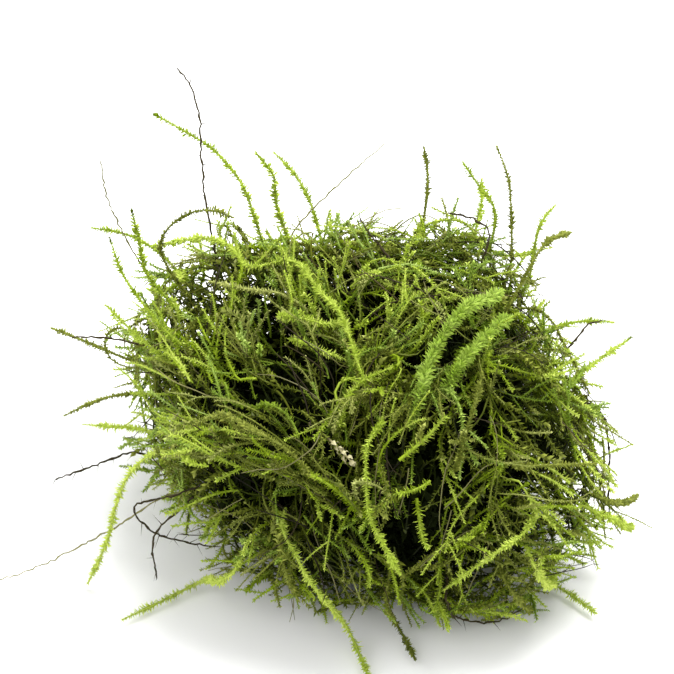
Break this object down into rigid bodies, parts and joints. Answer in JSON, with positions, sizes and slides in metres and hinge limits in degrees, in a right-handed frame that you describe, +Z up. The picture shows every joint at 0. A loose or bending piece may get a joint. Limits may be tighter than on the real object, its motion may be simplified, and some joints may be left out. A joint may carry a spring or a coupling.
{
  "type": "moss clump",
  "caption": "Loose clump of bright and olive green water moss, a tangled cushion with leafy shoots and wiry stems standing out of it.",
  "frame": {"origin": "centre of the flat face that the clump rests on", "axes": "+Z up, +X along the longest side, to the right as seen from the front, +Y away from the front"},
  "size_m": [0.1273, 0.1148, 0.0787],
  "materials": {
    "matted_moss": "damp, matted shoots and dead stems, dark between them",
    "fresh_leaves": "damp, thin, light shows through",
    "broad_leaves": "damp, thin, light shows through",
    "olive_leaves": "damp, older growth",
    "bare_stem": "bare, wiry, nearly black",
    "hair_stem": "bare, hair-thin, brown",
    "dry_leaves": "dry, curled, buff"
  },
  "bodies": {
    "root": {"moss_mat": "matted_moss", "fork_shoot": "olive_leaves", "front_left_shoot": "olive_leaves", "upper_left_frond": "olive_leaves", "lower_curl_shoot": "fresh_leaves", "upper_curl_shoot": "fresh_leaves", "low_fork_shoot": "fresh_leaves", "dry_curl": "dry_leaves", "right_level_shoot": "olive_leaves", "inner_frond": "broad_leaves", "big_frond": "broad_leaves", "blunt_shoot": "fresh_leaves", "long_front_shoot": "fresh_leaves", "bright_arch_shoot": "fresh_leaves", "foot_blunt_shoot": "olive_leaves", "tall_stem": "bare_stem", "top_left_shoot": "fresh_leaves", "top_hooked_shoot": "fresh_leaves", "top_left_hair": "hair_stem", "top_arch_shoot": "olive_leaves", "left_dark_tip_shoot": "fresh_leaves", "left_slim_shoot": "fresh_leaves", "left_small_shoot": "fresh_leaves", "left_level_hair": "bare_stem", "top_long_hair": "hair_stem", "top_twig": "bare_stem", "top_right_shoot": "fresh_leaves", "top_right_stem": "olive_leaves", "right_rising_shoot": "fresh_leaves", "right_leaning_shoot": "olive_leaves", "top_bent_twig": "bare_stem", "upper_right_stem": "olive_leaves", "right_shoot": "fresh_leaves", "right_hair": "bare_stem", "right_edge_stem": "bare_stem", "right_low_shoot": "fresh_leaves", "right_low_sprig": "olive_leaves", "left_level_shoot": "fresh_leaves", "left_wiry_stem": "bare_stem", "left_hanging_shoot": "fresh_leaves", "left_long_hair": "hair_stem", "left_swept_stem": "bare_stem", "left_hanging_twig": "bare_stem", "floor_right_shoot": "fresh_leaves", "floor_front_shoot": "fresh_leaves", "floor_left_shoot": "fresh_leaves", "foot_tuft": "olive_leaves", "foot_loop": "bare_stem", "foot_twig": "olive_leaves", "back_shoot_1": "fresh_leaves", "back_shoot_2": "olive_leaves", "back_shoot_3": "fresh_leaves", "back_shoot_4": "bare_stem", "back_shoot_5": "fresh_leaves", "back_shoot_6": "fresh_leaves", "back_shoot_7": "olive_leaves", "back_shoot_8": "fresh_leaves", "back_shoot_9": "olive_leaves", "back_shoot_10": "olive_leaves"}
  },
  "joints": []
}
